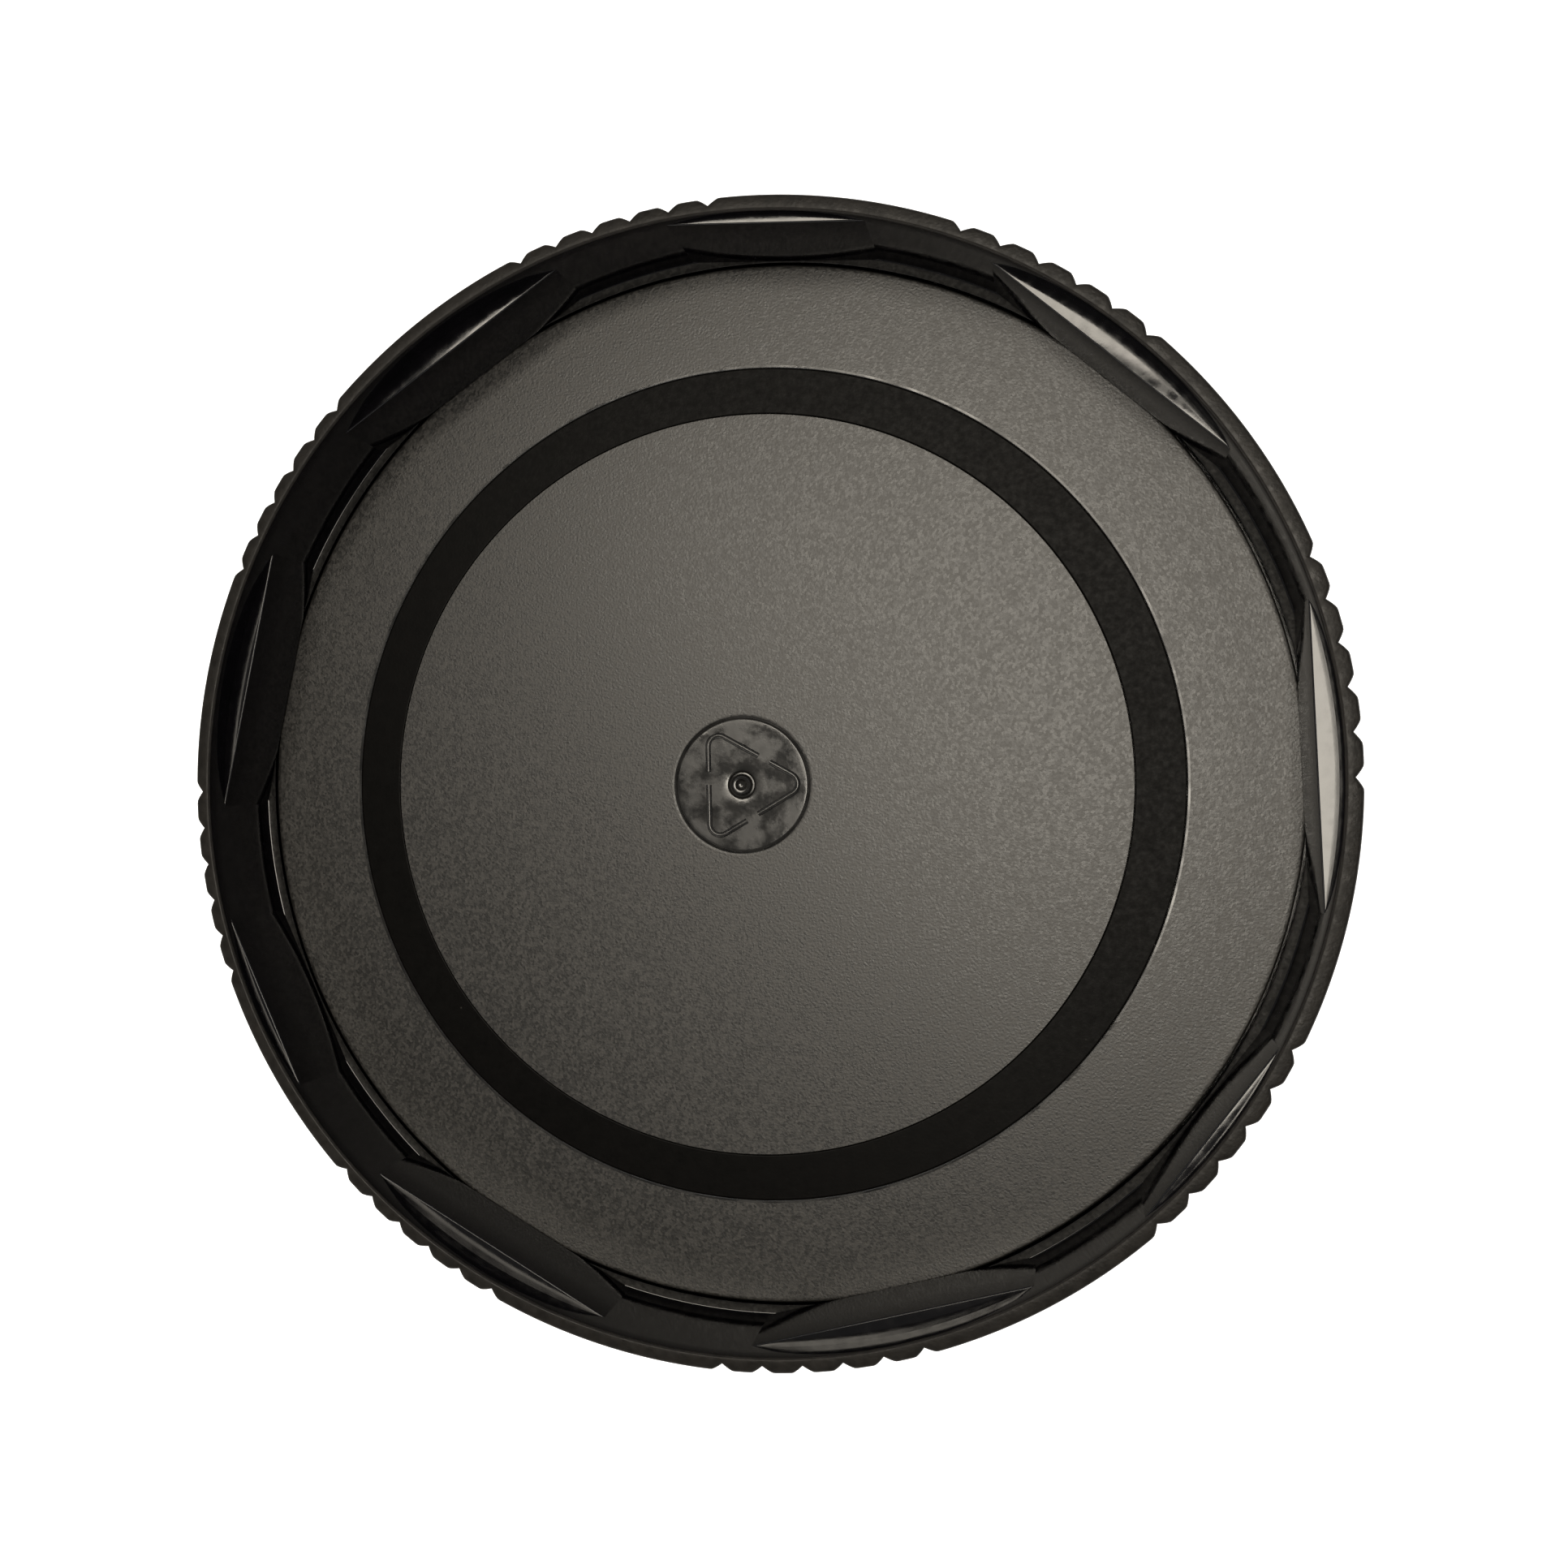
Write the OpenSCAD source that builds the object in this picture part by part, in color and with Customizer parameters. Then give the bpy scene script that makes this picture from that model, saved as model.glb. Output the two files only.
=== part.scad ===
// Screw lid of a rock tumbler barrel: a knurled shell, a pressure disc that turns inside it
// and a rubber sealing ring let into the disc.
// Millimetres. The lid lies on its outer face with the open side up: the origin is the centre
// of the outer face, and +Z runs along the lid's axis, out of the open side.

/* [Lid shell] */
// Outside diameter of the skirt
lid_d = 120; // [110:1:150]
// Thickness of the plate that closes the lid
plate_t = 2; // [1.5:0.1:4]
// Thickness of the skirt wall, measured between the grip grooves
wall_t = 1.6; // [1.4:0.1:3]
// Depth of the open side, from the pressure disc up to the rim
inner_depth = 14.2; // [13.8:0.2:18]
// Chamfer round the edge of the outer face
edge_chamfer = 1.2; // [0.5:0.1:2]
// Rounding of the rim's two edges
rim_round = 0.3; // [0.2:0.05:0.6]

/* [Outer face] */
// Radius of the decorative ring groove in the outer face
face_groove_r = 50; // [20:1:50]
// Width of that groove
face_groove_w = 2; // [1:0.5:4]
// Depth of that groove
face_groove_depth = 0.5; // [0.2:0.1:0.8]

/* [Grip] */
// Number of groups of grooves round the skirt
grip_groups = 8; // [4:1:10]
// Number of grooves in a group
grooves_per_group = 6; // [3:1:7]
// Angle between neighbouring grooves, in degrees
groove_pitch = 4; // [3.5:0.1:4.5]
// Depth of a groove
groove_depth = 0.7; // [0.4:0.1:0.9]
// Width of a groove at the surface
groove_w = 2.2; // [1.5:0.1:3]
// Angle of the middle of the first group, from +X
grip_start = 9.5; // [0:0.5:44]

/* [Lugs] */
// Number of equal sectors round the wall, each with one high lug and two low ones
lug_sectors = 3; // [2:1:3]
// Angle of the first high lug, from +X
high_lug_angle = 84; // [60:1:110]
// Angle from a high lug to the low lug on either side of it
low_lug_offset = 37.5; // [32:0.5:42]
// How far a high lug's flat face stands in from the wall
high_lug_depth = 0.9; // [0.5:0.1:1.5]
// How far a low lug's flat face stands in from the wall
low_lug_depth = 1.9; // [1.3:0.1:2.1]
// Height of a high lug's crest above the pressure disc
high_crest = 12.8; // [9:0.1:13]
// Height of a low lug's crest above the pressure disc
low_crest = 10.6; // [6:0.1:12]
// Rise of a lug's upper flank between its crest and the wall
flank_rise = 0.2; // [0.1:0.1:0.6]
// Gap between the pressure disc and the low lugs that hold it in
lug_clearance = 0.3; // [0.2:0.1:1]

/* [Pressure disc] */
// Thickness of the disc
disc_t = 2.4; // [2:0.1:4]
// Gap between the disc and the shell, beside it and under it
disc_gap = 0.3; // [0.2:0.05:0.5]
// Width of the shell's ledge round the disc, level with the disc's top
ledge_w = 1; // [0.6:0.1:1.2]
// Chamfer round the disc's upper edge
disc_chamfer = 0.2; // [0.1:0.05:0.4]
// Diameter of the smooth sunk field in the middle of the disc
field_d = 14.8; // [10:0.2:20]
// Depth of that field
field_depth = 0.2; // [0.1:0.05:0.4]
// Diameter of the moulding gate's nipple
gate_d = 2.2; // [2:0.1:5]
// Height of the nipple above the field
gate_h = 0.5; // [0.2:0.1:1]
// Diameter of the dimple in the nipple
gate_hole_d = 1; // [0.5:0.1:1.4]

/* [Sealing ring] */
// Inside diameter of the sealing ring
seal_id = 81.8; // [70:0.2:88]
// Outside diameter of the sealing ring
seal_od = 91.8; // [90:0.2:100]
// Thickness of the sealing ring, which fills its groove
seal_t = 1.2; // [0.8:0.1:1.4]

/* [Hidden] */

$fn = 180;
eps = 0.01;

lid_r = lid_d / 2;
bore_r = lid_r - wall_t;
pocket_r = bore_r - ledge_w;
disc_r = pocket_r - disc_gap;
disc_z = plate_t + disc_gap;
floor_z = disc_z + disc_t;
rim_z = floor_z + inner_depth;
lug_root_r = bore_r + 0.4;

// One vertical V groove of the grip, with its middle on +X
module grip_groove() {
    translate([lid_r, 0, -eps])
        linear_extrude(rim_z + 2 * eps)
            polygon([[-groove_depth, 0], [eps, -groove_w / 2], [eps, groove_w / 2]]);
}

module grip() {
    for (group = [0 : grip_groups - 1])
        for (i = [0 : grooves_per_group - 1])
            rotate(grip_start + group * 360 / grip_groups
                   + (i - (grooves_per_group - 1) / 2) * groove_pitch)
                grip_groove();
}

// One lug, with its middle on +X: a flat face along a chord of the bore, which stands on the
// ledge, and an upper flank that climbs a little from the crest to the wall. It's cut off just
// inside the wall.
module lug(depth, crest) {
    face_r = bore_r - depth;
    reach = lug_root_r - face_r;
    half_w = sqrt(lug_root_r * lug_root_r - face_r * face_r) + 1;
    low = floor_z - disc_t / 2;
    high = floor_z + crest;
    intersection() {
        cylinder(r = lug_root_r, h = rim_z);
        translate([face_r, half_w, 0])
            rotate([90, 0, 0])
                linear_extrude(2 * half_w)
                    polygon([
                        [0, low],
                        [0, high],
                        [reach, high + flank_rise * reach / depth],
                        [reach, low]
                    ]);
    }
}

module lugs() {
    for (sector = [0 : lug_sectors - 1])
        rotate(high_lug_angle + sector * 360 / lug_sectors) {
            lug(high_lug_depth, high_crest);
            rotate(low_lug_offset) lug(low_lug_depth, low_crest);
            rotate(-low_lug_offset) lug(low_lug_depth, low_crest);
        }
}

// The room that the disc turns in: under the low lugs and inside the ledge
module disc_pocket() {
    translate([0, 0, plate_t]) cylinder(r = pocket_r, h = floor_z + lug_clearance - plate_t);
}

// Half section of the skirt and the solid bottom, turned about the axis
module shell_blank() {
    rotate_extrude()
        polygon([
            [0, 0],
            [lid_r - edge_chamfer, 0],
            [lid_r, edge_chamfer],
            [lid_r, rim_z - rim_round],
            [lid_r - rim_round, rim_z],
            [bore_r + rim_round, rim_z],
            [bore_r, rim_z - rim_round],
            [bore_r, floor_z],
            [0, floor_z]
        ]);
}

module face_groove() {
    translate([0, 0, -eps])
        difference() {
            cylinder(r = face_groove_r + face_groove_w / 2, h = face_groove_depth + eps);
            translate([0, 0, -eps])
                cylinder(r = face_groove_r - face_groove_w / 2, h = face_groove_depth + 3 * eps);
        }
}

module lid_shell() {
    color("#1b1917")
        difference() {
            union() {
                shell_blank();
                lugs();
            }
            disc_pocket();
            grip();
            face_groove();
        }
}

module seal_body(z, t) {
    translate([0, 0, z])
        difference() {
            cylinder(d = seal_od, h = t);
            translate([0, 0, -eps]) cylinder(d = seal_id, h = t + 2 * eps);
        }
}

module gate_nipple() {
    translate([0, 0, floor_z - field_depth - eps])
        difference() {
            cylinder(d1 = gate_d, d2 = 0.7 * gate_d, h = gate_h + eps);
            cylinder(d = gate_hole_d, h = gate_h + 2 * eps);
        }
}

module pressure_disc() {
    color("#4a4743")
        union() {
            difference() {
                rotate_extrude()
                    polygon([
                        [0, disc_z],
                        [disc_r, disc_z],
                        [disc_r, floor_z - disc_chamfer],
                        [disc_r - disc_chamfer, floor_z],
                        [0, floor_z]
                    ]);
                seal_body(floor_z - seal_t, seal_t + eps);
                translate([0, 0, floor_z - field_depth]) cylinder(d = field_d, h = 1);
            }
            gate_nipple();
        }
}

module seal_ring() {
    color("#161412") seal_body(floor_z - seal_t, seal_t);
}

lid_shell();
pressure_disc();
seal_ring();
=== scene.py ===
"""Screw lid of a rock tumbler barrel, open side up: knurled shell, turning disc, sealing ring."""

import math

import bpy
import numpy as np
from mathutils import Matrix, Vector


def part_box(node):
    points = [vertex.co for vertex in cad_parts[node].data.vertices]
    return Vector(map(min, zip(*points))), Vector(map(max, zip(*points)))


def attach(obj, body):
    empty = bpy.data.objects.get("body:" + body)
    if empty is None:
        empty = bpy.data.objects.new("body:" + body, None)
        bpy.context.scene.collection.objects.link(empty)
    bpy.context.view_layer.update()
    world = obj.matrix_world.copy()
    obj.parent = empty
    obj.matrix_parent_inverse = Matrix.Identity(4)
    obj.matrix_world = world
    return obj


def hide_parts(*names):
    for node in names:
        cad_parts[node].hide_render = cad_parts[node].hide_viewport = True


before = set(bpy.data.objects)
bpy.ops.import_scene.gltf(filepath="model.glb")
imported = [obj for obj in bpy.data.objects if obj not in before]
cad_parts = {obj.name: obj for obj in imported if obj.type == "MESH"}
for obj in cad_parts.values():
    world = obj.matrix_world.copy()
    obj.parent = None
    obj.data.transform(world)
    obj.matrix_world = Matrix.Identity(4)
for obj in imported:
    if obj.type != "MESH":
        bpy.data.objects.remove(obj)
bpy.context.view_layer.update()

MM = 0.001

# ---------------------------------------------------------------- sizes, from the frame
shell_lo, shell_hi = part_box("lid_shell")
disc_lo, disc_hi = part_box("pressure_disc")
seal_lo, seal_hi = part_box("seal_ring")

LID_R = shell_hi.x
RIM_Z = shell_hi.z
DISC_R = disc_hi.x
DISC_Z = disc_lo.z
FLOOR_Z = seal_hi.z
SEAL_R = seal_hi.x
SEAL_Z = seal_lo.z
SEAL_W = 5 * MM
DISC_GAP = 0.3 * MM
POCKET_R = DISC_R + DISC_GAP
BORE_R = POCKET_R + 1.0 * MM
PLATE_Z = DISC_Z - DISC_GAP

EDGE_CHAMFER = 1.2 * MM
BEVEL = 0.25 * MM
RIM_ROUND = 0.3 * MM
RIM_MIDDLE = 59.0 * MM

# the ring groove in the outer face: radius and height, in millimetres
FACE_GROOVE = [(48.8, 0), (49.0, 0.1), (49.3, 0.45), (49.5, 0.5)]
FACE_GROOVE += [(50.5, 0.5), (50.7, 0.45), (51.0, 0.1), (51.2, 0)]

# columns round the turn: the shell's pass through every groove of the grip
SHELL_COLUMNS = 1440
DISC_COLUMNS = 480
LUG_COLUMNS = 72
COVE_COLUMNS = 96

# grip: groups of grooves between rounded teeth
GRIP_GROUPS = 8
GROOVES = 6
GROOVE_PITCH = math.radians(4)
GRIP_START = math.radians(9.5)
GROOVE_DEPTH = 0.7 * MM
GROOVE_HALF = 1.15 * MM / LID_R
VALLEY_POWER = 1.3

# lugs: one high and two low in each third of the wall
HIGH_LUG_ANGLE = math.radians(84)
LOW_LUG_OFFSET = math.radians(37.5)
HIGH_FACE_R, HIGH_CREST = BORE_R - 0.9 * MM, FLOOR_Z + 12.8 * MM
LOW_FACE_R, LOW_CREST = BORE_R - 1.9 * MM, FLOOR_Z + 10.6 * MM
FLANK_RISE = 0.03 * MM
LUG_GAP = 0.3 * MM
CREST_ROUND = 0.15 * MM

# a lug's least thickness, and how far it goes into the wall and a high one into the ledge
LUG_MIN = 0.16 * MM
LUG_ROOT = 0.15 * MM
LUG_SINK = 0.05 * MM


# ---------------------------------------------------------------- mesh tools
def lathe(name, rows, columns, slots, radius=None):
    """Turns a list of rows (r, z, slot) about Z. A first or last row with r = 0 closes to a point.
    radius(r, z, angles) may change a row's radius round the turn."""
    angles = np.arange(columns) * 2 * math.pi / columns
    verts, starts = [], []
    for i, (r, z, slot) in enumerate(rows):
        starts.append(len(verts))
        if r == 0:
            verts.append((0.0, 0.0, z))
            continue
        rr = radius(r, z, angles) if radius else np.full(columns, r)
        verts.extend(zip(rr * np.cos(angles), rr * np.sin(angles), np.full(columns, z)))
    faces, indices = [], []
    for i in range(len(rows) - 1):
        a, b = starts[i], starts[i + 1]
        for j in range(columns):
            k = (j + 1) % columns
            if rows[i][0] == 0:
                faces.append((a, b + k, b + j))
            elif rows[i + 1][0] == 0:
                faces.append((a + j, a + k, b))
            else:
                faces.append((a + j, a + k, b + k, b + j))
            indices.append(rows[i + 1][2])
    return mesh_piece(name, verts, faces, indices, slots)


def ring_lathe(name, rows, columns, slots):
    """Turns a closed loop of (r, z) about Z, as for a seal."""
    angles = np.arange(columns) * 2 * math.pi / columns
    verts = [(r * math.cos(a), r * math.sin(a), z) for r, z in rows for a in angles]
    n = len(rows)
    faces = []
    for i in range(n):
        a, b = i * columns, (i + 1) % n * columns
        for j in range(columns):
            k = (j + 1) % columns
            faces.append((a + j, a + k, b + k, b + j))
    return mesh_piece(name, verts, faces, [0] * len(faces), slots)


def mesh_piece(name, verts, faces, indices, slots, sharp=32):
    """A smooth-shaded object whose edges above this angle, in degrees, stay sharp."""
    mesh = bpy.data.meshes.new(name)
    mesh.from_pydata([tuple(map(float, v)) for v in verts], [], faces)
    for material in slots:
        mesh.materials.append(material)
    mesh.polygons.foreach_set("material_index", indices)
    mesh.polygons.foreach_set("use_smooth", [True] * len(faces))
    mesh.set_sharp_from_angle(angle=math.radians(sharp))
    mesh.validate()
    mesh.update()
    piece = bpy.data.objects.new(name, mesh)
    bpy.context.collection.objects.link(piece)
    return piece


def tube_faces(sections, n):
    """Faces along a run of sections of n points each, closed at both ends."""
    faces = []
    for i in range(sections - 1):
        for j in range(n):
            k = (j + 1) % n
            faces.append((i * n + j, i * n + k, (i + 1) * n + k, (i + 1) * n + j))
    faces.append(tuple(range(n - 1, -1, -1)))
    faces.append(tuple((sections - 1) * n + j for j in range(n)))
    return faces


def near(r, z, offsets, slot):
    """Rows at these offsets from a point of the section, in millimetres."""
    return [(r + dr * MM, z + dz * MM, slot) for dr, dz in offsets]


def arc(cx, cz, radius, start, end, steps, slot):
    """Rows along an arc of the section, angles in degrees."""
    turns = [math.radians(start + (end - start) * i / steps) for i in range(steps + 1)]
    return [(cx + radius * math.cos(t), cz + radius * math.sin(t), slot) for t in turns]


# ---------------------------------------------------------------- materials
class Graph:
    """A short way to write one material's nodes."""

    def __init__(self, name, colour, roughness, specular=0.5):
        self.material = bpy.data.materials.new(name)
        self.material.use_nodes = True
        self.nodes = self.material.node_tree.nodes
        self.links = self.material.node_tree.links
        self.shader = self.nodes["Principled BSDF"]
        self.shader.inputs["Base Color"].default_value = (*colour, 1)
        self.shader.inputs["Roughness"].default_value = roughness
        self.shader.inputs["Specular IOR Level"].default_value = specular
        self.place = self.nodes.new("ShaderNodeTexCoord").outputs["Object"]

    def noise(self, scale, detail=2, roughness=0.5):
        node = self.nodes.new("ShaderNodeTexNoise")
        node.inputs["Scale"].default_value = scale
        node.inputs["Detail"].default_value = detail
        node.inputs["Roughness"].default_value = roughness
        self.links.new(self.place, node.inputs["Vector"])
        return node.outputs["Fac"]

    def cells(self, scale, output="Distance"):
        """Small cells: the distance from a cell's middle, or a random Color for each cell."""
        node = self.nodes.new("ShaderNodeTexVoronoi")
        node.inputs["Scale"].default_value = scale
        self.links.new(self.place, node.inputs["Vector"])
        return node.outputs[output]

    def ramp(self, source, *stops):
        node = self.nodes.new("ShaderNodeValToRGB")
        ramp = node.color_ramp
        while len(ramp.elements) < len(stops):
            ramp.elements.new(0.5)
        for element, (at, value) in zip(ramp.elements, stops):
            element.position = at
            element.color = (*value, 1) if isinstance(value, tuple) else (value,) * 3 + (1,)
        self.links.new(source, node.inputs["Fac"])
        return node.outputs["Color"]

    def mix(self, fac, a, b):
        node = self.nodes.new("ShaderNodeMix")
        node.data_type = "RGBA"
        self.links.new(fac, node.inputs["Factor"])
        for socket, value in (("A", a), ("B", b)):
            target = next(i for i in node.inputs if i.name == socket and i.type == "RGBA")
            if isinstance(value, tuple):
                target.default_value = (*value, 1)
            else:
                self.links.new(value, target)
        return next(o for o in node.outputs if o.type == "RGBA")

    def bump(self, height, strength, distance, normal=None):
        node = self.nodes.new("ShaderNodeBump")
        node.inputs["Strength"].default_value = strength
        node.inputs["Distance"].default_value = distance
        self.links.new(height, node.inputs["Height"])
        if normal:
            self.links.new(normal, node.inputs["Normal"])
        return node.outputs["Normal"]

    def set(self, socket, source):
        self.links.new(source, self.shader.inputs[socket])
        return self


def polished_plastic():
    """The inner wall and the lugs: black, glossy, with a moulding's slight waves."""
    g = Graph("polished_black", (0.0016, 0.0014, 0.002), 0.12, 0.42)
    dark, light = (0.001, 0.0009, 0.0014), (0.0024, 0.002, 0.0028)
    g.set("Base Color", g.ramp(g.noise(400, 3), (0.35, dark), (0.7, light)))
    g.set("Roughness", g.ramp(g.noise(900, 4), (0.35, 0.07), (0.75, 0.16)))
    g.set("Normal", g.bump(g.noise(160, 2), 0.15, 0.0002, g.bump(g.noise(5000, 2), 0.04, 0.00003)))
    return g.material


def grip_plastic():
    """The skirt, rim and outer face: the same black, rubbed to a satin by use."""
    g = Graph("satin_black", (0.012, 0.0105, 0.009), 0.36, 0.16)
    dark, light = (0.0085, 0.0074, 0.0062), (0.0165, 0.0143, 0.0121)
    g.set("Base Color", g.ramp(g.noise(700, 4), (0.3, dark), (0.75, light)))
    g.set("Roughness", g.ramp(g.noise(1200, 4), (0.3, 0.28), (0.75, 0.5)))
    g.set("Normal", g.bump(g.noise(2600, 4), 0.35, 0.00008))
    return g.material


def grained_plastic():
    """The disc: dark grey, spark-eroded grain of about a third of a millimetre."""
    g = Graph("grained_grey", (0.012, 0.011, 0.0095), 0.3, 0.5)
    grain = g.cells(3300, "Color")
    cloud = g.noise(45, 3)
    tone = g.mix(cloud, (0.007, 0.0064, 0.0054), (0.0115, 0.0106, 0.0092))
    g.set("Base Color", g.mix(g.ramp(grain, (0.3, 0.0), (0.9, 1.0)), tone, (0.038, 0.035, 0.031)))
    g.set("Roughness", g.ramp(grain, (0.2, 0.33), (0.8, 0.44)))
    g.set("Normal", g.bump(g.noise(3600, 2), 0.3, 0.00008))
    return g.material


def polished_grey():
    """The disc's edge, middle field, nipple and mark: smooth with duller blotches."""
    g = Graph("polished_grey", (0.012, 0.0113, 0.0103), 0.22, 0.45)
    dark, light = (0.0075, 0.0072, 0.0066), (0.022, 0.021, 0.0195)
    g.set("Base Color", g.ramp(g.noise(420, 4), (0.35, dark), (0.7, light)))
    g.set("Roughness", g.ramp(g.noise(300, 4, 0.6), (0.4, 0.13), (0.68, 0.4)))
    g.set("Normal", g.bump(g.noise(520, 4), 0.3, 0.0001))
    return g.material


def ledge_plastic():
    """The ledge round the disc: as black as the wall, with the disc's fine grain on it."""
    g = Graph("ledge_black", (0.012, 0.011, 0.01), 0.45, 0.1)
    grain = g.ramp(g.cells(2700, "Color"), (0.3, 0.0), (0.8, 1.0))
    g.set("Base Color", g.mix(grain, (0.008, 0.0075, 0.007), (0.019, 0.018, 0.0165)))
    g.set("Roughness", g.ramp(g.noise(2300, 2), (0.3, 0.36), (0.7, 0.54)))
    g.set("Normal", g.bump(g.noise(2400, 2), 0.3, 0.0001))
    return g.material


def seal_rubber():
    """The ring: near-black rubber, smooth, with a few specks of dust."""
    g = Graph("seal_rubber", (0.0022, 0.002, 0.0017), 0.38, 0.055)
    base = g.ramp(g.noise(600, 4), (0.3, (0.0018, 0.0016, 0.0014)), (0.75, (0.0034, 0.003, 0.0026)))
    specks = g.ramp(g.cells(260), (0.0, 1.0), (0.035, 0.0))
    g.set("Base Color", g.mix(specks, base, (0.05, 0.046, 0.04)))
    g.set("Roughness", g.ramp(g.noise(1800, 3), (0.3, 0.34), (0.75, 0.5)))
    g.set("Normal", g.bump(g.noise(3500, 3), 0.25, 0.00004))
    return g.material


def floor_material():
    g = Graph("pale_floor", (0.9, 0.9, 0.9), 0.8)
    g.set("Base Color", g.ramp(g.noise(6, 2), (0.3, 0.9), (0.7, 0.92)))
    g.shader.inputs["Emission Color"].default_value = (1, 1, 1, 1)
    g.shader.inputs["Emission Strength"].default_value = 0.85
    return g.material


POLISHED = polished_plastic()
SATIN = grip_plastic()
GRAINED = grained_plastic()
POLISHED_GREY = polished_grey()
LEDGE = ledge_plastic()
RUBBER = seal_rubber()


# ---------------------------------------------------------------- lid shell
def groove_cut(angles):
    """How far the grip cuts into the skirt at each angle: narrow valleys between flat-topped teeth."""
    cut = np.zeros_like(angles)
    for group in range(GRIP_GROUPS):
        for i in range(GROOVES):
            middle = GRIP_START + group * 2 * math.pi / GRIP_GROUPS
            middle += (i - (GROOVES - 1) / 2) * GROOVE_PITCH
            away = np.abs((angles - middle + math.pi) % (2 * math.pi) - math.pi)
            rise = np.clip(1 - away / GROOVE_HALF, 0, 1)
            cut = np.maximum(cut, GROOVE_DEPTH * rise**VALLEY_POWER)
    return cut


def lug_list():
    """Middle angle, face radius and crest height of every lug."""
    for sector in range(3):
        middle = HIGH_LUG_ANGLE + sector * 2 * math.pi / 3
        yield middle, HIGH_FACE_R, HIGH_CREST
        yield middle + LOW_LUG_OFFSET, LOW_FACE_R, LOW_CREST
        yield middle - LOW_LUG_OFFSET, LOW_FACE_R, LOW_CREST


def lug_mesh(face_r, crest):
    """One lug with its middle on +X: a flat face along a chord, rounded into a level top."""
    half = math.acos(face_r / BORE_R)
    turns = [half * (2 * i / LUG_COLUMNS - 1) for i in range(LUG_COLUMNS + 1)]
    low = FLOOR_Z + (LUG_GAP if face_r < POCKET_R else -LUG_SINK)
    back = BORE_R + LUG_ROOT
    steps = [math.pi / 2 * i / 6 for i in range(7)]
    verts = []
    for t in turns:
        inner = face_r / math.cos(t)
        room = max(back - inner, LUG_MIN)
        soft = min(CREST_ROUND, room * 0.45)
        rise = FLANK_RISE * (BORE_R - inner) / (BORE_R - face_r)
        section = [(back, low), (inner, low), (inner, (low + crest) / 2)]
        middle_r, middle_z = inner + soft, crest - soft
        section += [(middle_r - soft * math.cos(a), middle_z + soft * math.sin(a)) for a in steps]
        section += [(inner + room * 0.6, crest + rise * 0.6), (back, crest + rise)]
        verts += [(r * math.cos(t), r * math.sin(t), z) for r, z in section]
    return verts, tube_faces(len(turns), len(verts) // len(turns))


def build_lugs():
    verts, faces = [], []
    for middle, face_r, crest in lug_list():
        spin = Matrix.Rotation(middle, 3, "Z")
        part_verts, part_faces = lug_mesh(face_r, crest)
        offset = len(verts)
        verts += [tuple(spin @ Vector(v)) for v in part_verts]
        faces += [tuple(i + offset for i in f) for f in part_faces]
    piece = mesh_piece("thread_lugs", verts, faces, [0] * len(faces), [POLISHED], 40)
    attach(piece, "shell")
    return piece


def shell_rows():
    """The shell's half section: outer face, skirt, rim, wall, ledge, pocket and plate."""
    satin, polished, grain = 0, 1, 2
    rows = [(0, 0, satin)]
    rows += [(r * MM, 0, satin) for r in (12, 24, 36, 46)]
    rows += near(0, 0, FACE_GROOVE, satin)
    rows += [(55 * MM, 0, satin), (LID_R - EDGE_CHAMFER - BEVEL, 0, satin)]
    rows += near(LID_R - EDGE_CHAMFER, 0, [(0.15, 0.13)], satin)
    rows += near(LID_R, 0, [(-0.75, 0.45), (-0.45, 0.75)], satin)
    rows += near(LID_R, EDGE_CHAMFER, [(-0.12, -0.15)], satin)
    rows += [(LID_R, EDGE_CHAMFER + BEVEL, satin)]
    skirt = RIM_Z - RIM_ROUND - EDGE_CHAMFER - BEVEL
    rows += [(LID_R, EDGE_CHAMFER + BEVEL + skirt * i / 6, satin) for i in range(1, 6)]
    rows += arc(LID_R - RIM_ROUND, RIM_Z - RIM_ROUND, RIM_ROUND, 0, 90, 4, satin)
    rows += [(RIM_MIDDLE, RIM_Z, satin)]
    rows += arc(BORE_R + RIM_ROUND, RIM_Z - RIM_ROUND, RIM_ROUND, 90, 180, 4, satin)
    wall = RIM_Z - RIM_ROUND - FLOOR_Z
    rows += [(BORE_R, RIM_Z - RIM_ROUND - wall * i / 8, polished) for i in range(1, 8)]
    rows += near(BORE_R, FLOOR_Z, [(0, 0.12), (-0.04, 0.04), (-0.12, 0)], polished)
    rows += near(POCKET_R, FLOOR_Z, [(0.1, 0), (0, -0.1)], grain)
    rows += [(r, PLATE_Z, polished) for r in (POCKET_R, 50 * MM, 30 * MM, 0)]
    return rows


def shell_radius(r, z, angles):
    """The skirt's grooves, from the chamfer of the outer face to the rim."""
    face_in, face_out = BORE_R + RIM_ROUND, LID_R - RIM_ROUND
    if r < face_in + 1e-7:
        return np.full_like(angles, r)
    if z > EDGE_CHAMFER:
        return r - groove_cut(angles) * min(1, (r - face_in) / (face_out - face_in))
    return np.minimum(r, LID_R - groove_cut(angles))


def build_shell():
    slots = [SATIN, POLISHED, LEDGE]
    piece = lathe("lid_shell_moulding", shell_rows(), SHELL_COLUMNS, slots, shell_radius)
    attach(piece, "shell")
    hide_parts("lid_shell")
    return piece


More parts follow.
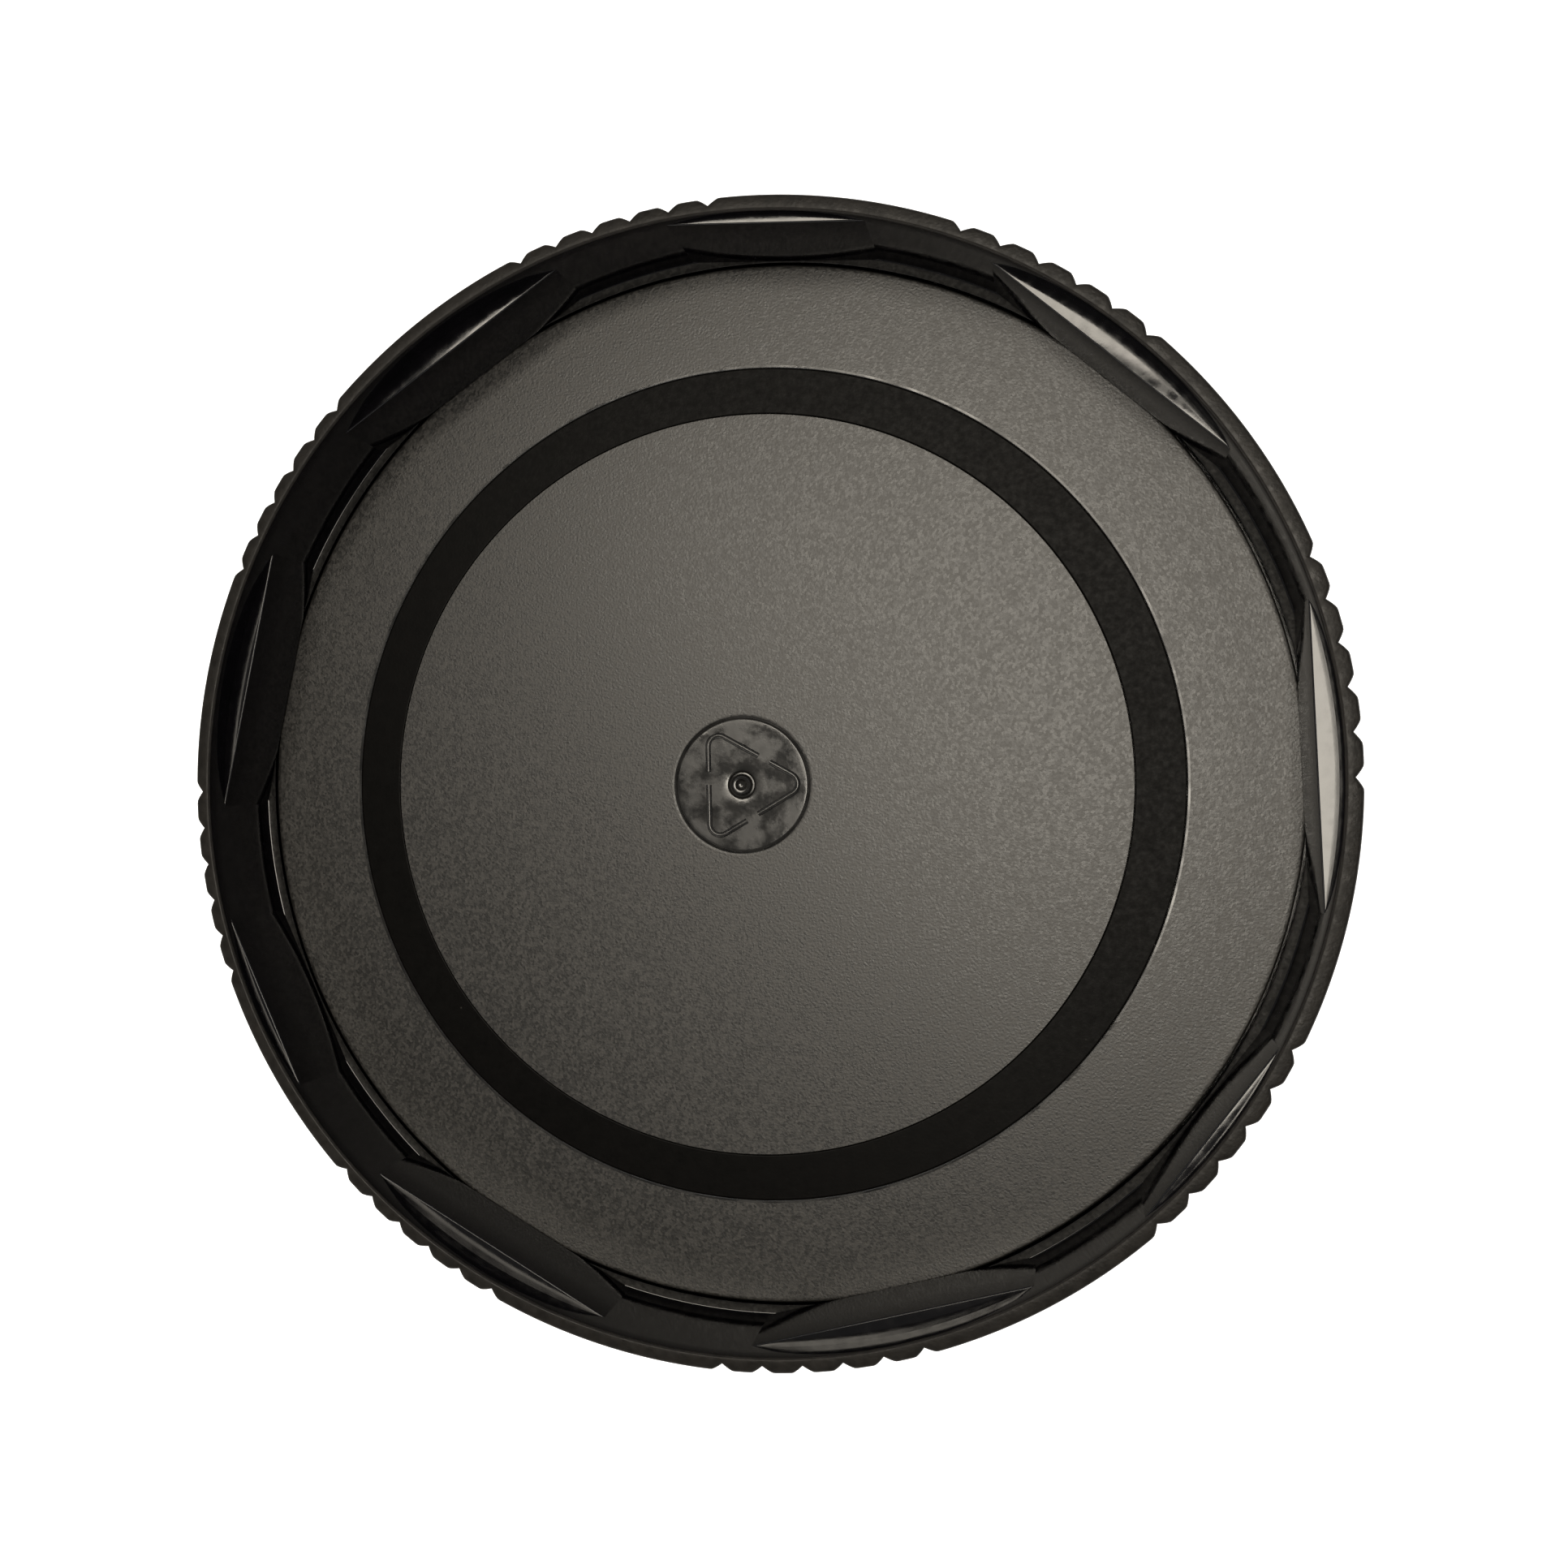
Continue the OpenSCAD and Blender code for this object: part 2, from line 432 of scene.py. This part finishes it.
# ---------------------------------------------------------------- pressure disc
# middle of the disc, radius and height above its top in millimetres: the outline round the field,
# the field, the groove and nipple of the gate, and the dimple in the nipple
FIELD_DEPTH = 0.14
OUTLINE = [(7.55, -0.04), (7.48, -0.2), (7.42, -0.24), (7.35, -0.2), (7.28, -0.15)]
FIELD = [(r, -FIELD_DEPTH) for r in (7.15, 6.8, 6.2, 5, 3.8, 2.6)] + [(1.75, -0.13)]
NIPPLE = [(1.58, -0.16), (1.48, -0.26), (1.36, -0.38), (1.22, -0.36), (1.14, -0.2)]
NIPPLE += [(1.06, 0.02), (0.94, 0.17), (0.8, 0.24), (0.66, 0.22)]
DIMPLE = [(0.56, 0.12), (0.5, -0.02), (0.42, -0.14), (0.3, -0.18), (0.15, -0.2), (0, -0.2)]


def disc_rows():
    """The disc's half section: underside, edge, the ring's groove, the field and the gate."""
    grained, polished = 0, 1
    seal_in, seal_out = SEAL_R - SEAL_W, SEAL_R
    top = FLOOR_Z
    edge = [(0, -0.2), (-0.04, -0.09), (-0.1, -0.03), (-0.2, 0)]
    lip, border = 0.08 * MM, 0.3 * MM
    rows = [(0, DISC_Z, polished), (30 * MM, DISC_Z, polished)]
    rows += near(DISC_R, DISC_Z, [(-0.2, 0), (0, 0.2)], polished)
    rows += near(DISC_R, top, edge, polished)
    rows += [(r * MM, top, grained) for r in (56.6, 55, 52, 49)]
    rows += [(seal_out + border, top, grained), (seal_out + lip, top, polished)]
    rows += [(seal_out, top - lip, polished), (seal_out, SEAL_Z, polished)]
    rows += [(seal_in, SEAL_Z, polished), (seal_in, top - lip, polished)]
    rows += [(seal_in - lip, top, polished), (seal_in - border, top, grained)]
    rows += [(r * MM, top, grained) for r in (38, 34, 30, 26, 22, 18, 14, 11, 9)]
    rows += near(0, top, [(7.9, 0), (7.64, 0)], grained)
    rows += near(0, top, OUTLINE + FIELD + NIPPLE + DIMPLE, polished)
    return rows


def build_disc():
    piece = lathe("pressure_disc_moulding", disc_rows(), DISC_COLUMNS, [GRAINED, POLISHED_GREY])
    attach(piece, "disc")
    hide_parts("pressure_disc")
    return piece


def build_seal():
    seam = 0.05 * MM
    inner, outer = SEAL_R - SEAL_W + seam, SEAL_R - seam
    top, low = FLOOR_Z - 0.01 * MM, SEAL_Z + 0.02 * MM
    soft = 0.07 * MM
    loop = [(inner, low), (inner, top - soft)]
    loop += [(inner + 0.3 * soft, top - 0.3 * soft), (inner + soft, top), (inner + 2 * soft, top)]
    loop += [(outer - 2 * soft, top), (outer - soft, top)]
    loop += [(outer - 0.3 * soft, top - 0.3 * soft), (outer, top - soft), (outer, low)]
    piece = ring_lathe("seal_ring_rubber", loop[::-1], DISC_COLUMNS, [RUBBER])
    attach(piece, "disc")
    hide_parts("seal_ring")
    return piece


# ---------------------------------------------------------------- the moulded mark: three bent bars
# in millimetres: a bar's bend and its distance from the middle, its arms, its section and its foot
BEND_R = 1.2
BEND_AT = 5.0
LONG_ARM = 4.4
SHORT_ARM = 2.8
BAR_W = 0.62
BAR_H = 0.26
BAR_SINK = 0.03


def bar_path():
    """One bent bar round the corner of a triangle that points along +X, in millimetres."""
    bend = [math.radians(-60 + 10 * i) for i in range(13)]
    points = [Vector((BEND_AT + BEND_R * math.cos(t), BEND_R * math.sin(t))) for t in bend]
    along = Vector((-math.cos(math.radians(30)), math.sin(math.radians(30))))
    start = points[0] + Vector((along.x, -along.y)) * LONG_ARM
    return [start] + points + [points[-1] + along * SHORT_ARM]


def bar_mesh(path, z, width, height):
    """A low half-round bar along a flat path."""
    section = [(math.cos(t), math.sin(t)) for t in [math.pi * i / 8 for i in range(9)]]
    verts = []
    for i, p in enumerate(path):
        ahead = (path[min(i + 1, len(path) - 1)] - path[max(i - 1, 0)]).normalized()
        side = Vector((-ahead.y, ahead.x))
        for c, s in section:
            q = p + side * (c * width / 2)
            verts.append((q.x * MM, q.y * MM, z + (s * height - BAR_SINK) * MM))
    return verts, tube_faces(len(path), len(section))


def build_mark():
    verts, faces = bar_mesh(bar_path(), FLOOR_Z - FIELD_DEPTH * MM, BAR_W, BAR_H)
    base = [Vector(v) for v in verts]
    all_verts, all_faces = [], []
    for turn in range(3):
        spin = Matrix.Rotation(math.radians(120 * turn), 3, "Z")
        offset = len(all_verts)
        all_verts += [tuple(spin @ v) for v in base]
        all_faces += [tuple(i + offset for i in f) for f in faces]
    piece = mesh_piece("moulded_mark", all_verts, all_faces, [0] * len(all_faces), [POLISHED_GREY], 50)
    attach(piece, "disc")
    return piece


build_shell()
build_lugs()
build_disc()
build_seal()
build_mark()


# ---------------------------------------------------------------- floor, lights and camera
def build_floor():
    """A pale studio floor just under the lid that curves up into a low wall all round, 3 m away."""
    reach, cove, wall, low = 3, 0.6, 1, -0.0002
    rows = [(0, low, 0), (0.5, low, 0), (reach - cove, low, 0)]
    rows += arc(reach - cove, cove + low, cove, -75, 0, 5, 0) + [(reach, wall, 0)]
    floor = lathe("floor", rows, COVE_COLUMNS, [floor_material()])


def softbox(name, azimuth, elevation, distance, width, height, radiance, colour=(1, 1, 1)):
    """An area light seen from the lid at this azimuth (from +X) and elevation, in degrees."""
    a, e = math.radians(azimuth), math.radians(elevation)
    away = Vector((math.cos(a) * math.cos(e), math.sin(a) * math.cos(e), math.sin(e)))
    data = bpy.data.lights.new(name, "AREA")
    data.shape = "RECTANGLE"
    data.size, data.size_y = width, height
    data.energy = radiance * math.pi * width * height
    data.color = colour
    lamp = bpy.data.objects.new(name, data)
    lamp.location = away * distance
    lamp.rotation_euler = away.to_track_quat("Z", "Y").to_euler()
    bpy.context.collection.objects.link(lamp)


def build_lights():
    softbox("overhead", 15, 86, 0.9, 0.25, 0.25, 14.5, (1, 0.93, 0.81))
    softbox("tube", 112, 75, 0.9, 0.38, 0.13, 13, (1, 0.925, 0.8))
    softbox("window", 222, 28.5, 1.0, 1.5, 0.2, 2.4, (1, 0.94, 0.84))
    world = bpy.data.worlds.new("studio")
    world.use_nodes = True
    sky = world.node_tree.nodes["Background"]
    sky.inputs["Color"].default_value = (1, 0.98, 0.95, 1)
    sky.inputs["Strength"].default_value = 0.22
    bpy.context.scene.world = world


def build_camera():
    """Looks down into the lid from beside its axis, leaning 18.2 degrees."""
    lean, roll = math.radians(18.222), math.radians(1.207)
    data = bpy.data.cameras.new("camera")
    data.sensor_width = 36
    data.lens = 37.178
    data.shift_x = 0.1553
    data.shift_y = 0.0041
    camera = bpy.data.objects.new("camera", data)
    camera.location = Vector((34.88 * MM, -0.15 * MM, FLOOR_Z + 177.07 * MM))
    camera.rotation_mode = "QUATERNION"
    turn = Matrix.Rotation(lean, 3, "Y") @ Matrix.Rotation(-roll, 3, "Z")
    camera.rotation_quaternion = turn.to_quaternion()
    data.clip_start = 0.01
    bpy.context.collection.objects.link(camera)
    bpy.context.scene.camera = camera


build_floor()
build_lights()
build_camera()
bpy.context.scene.view_settings.view_transform = "Standard"
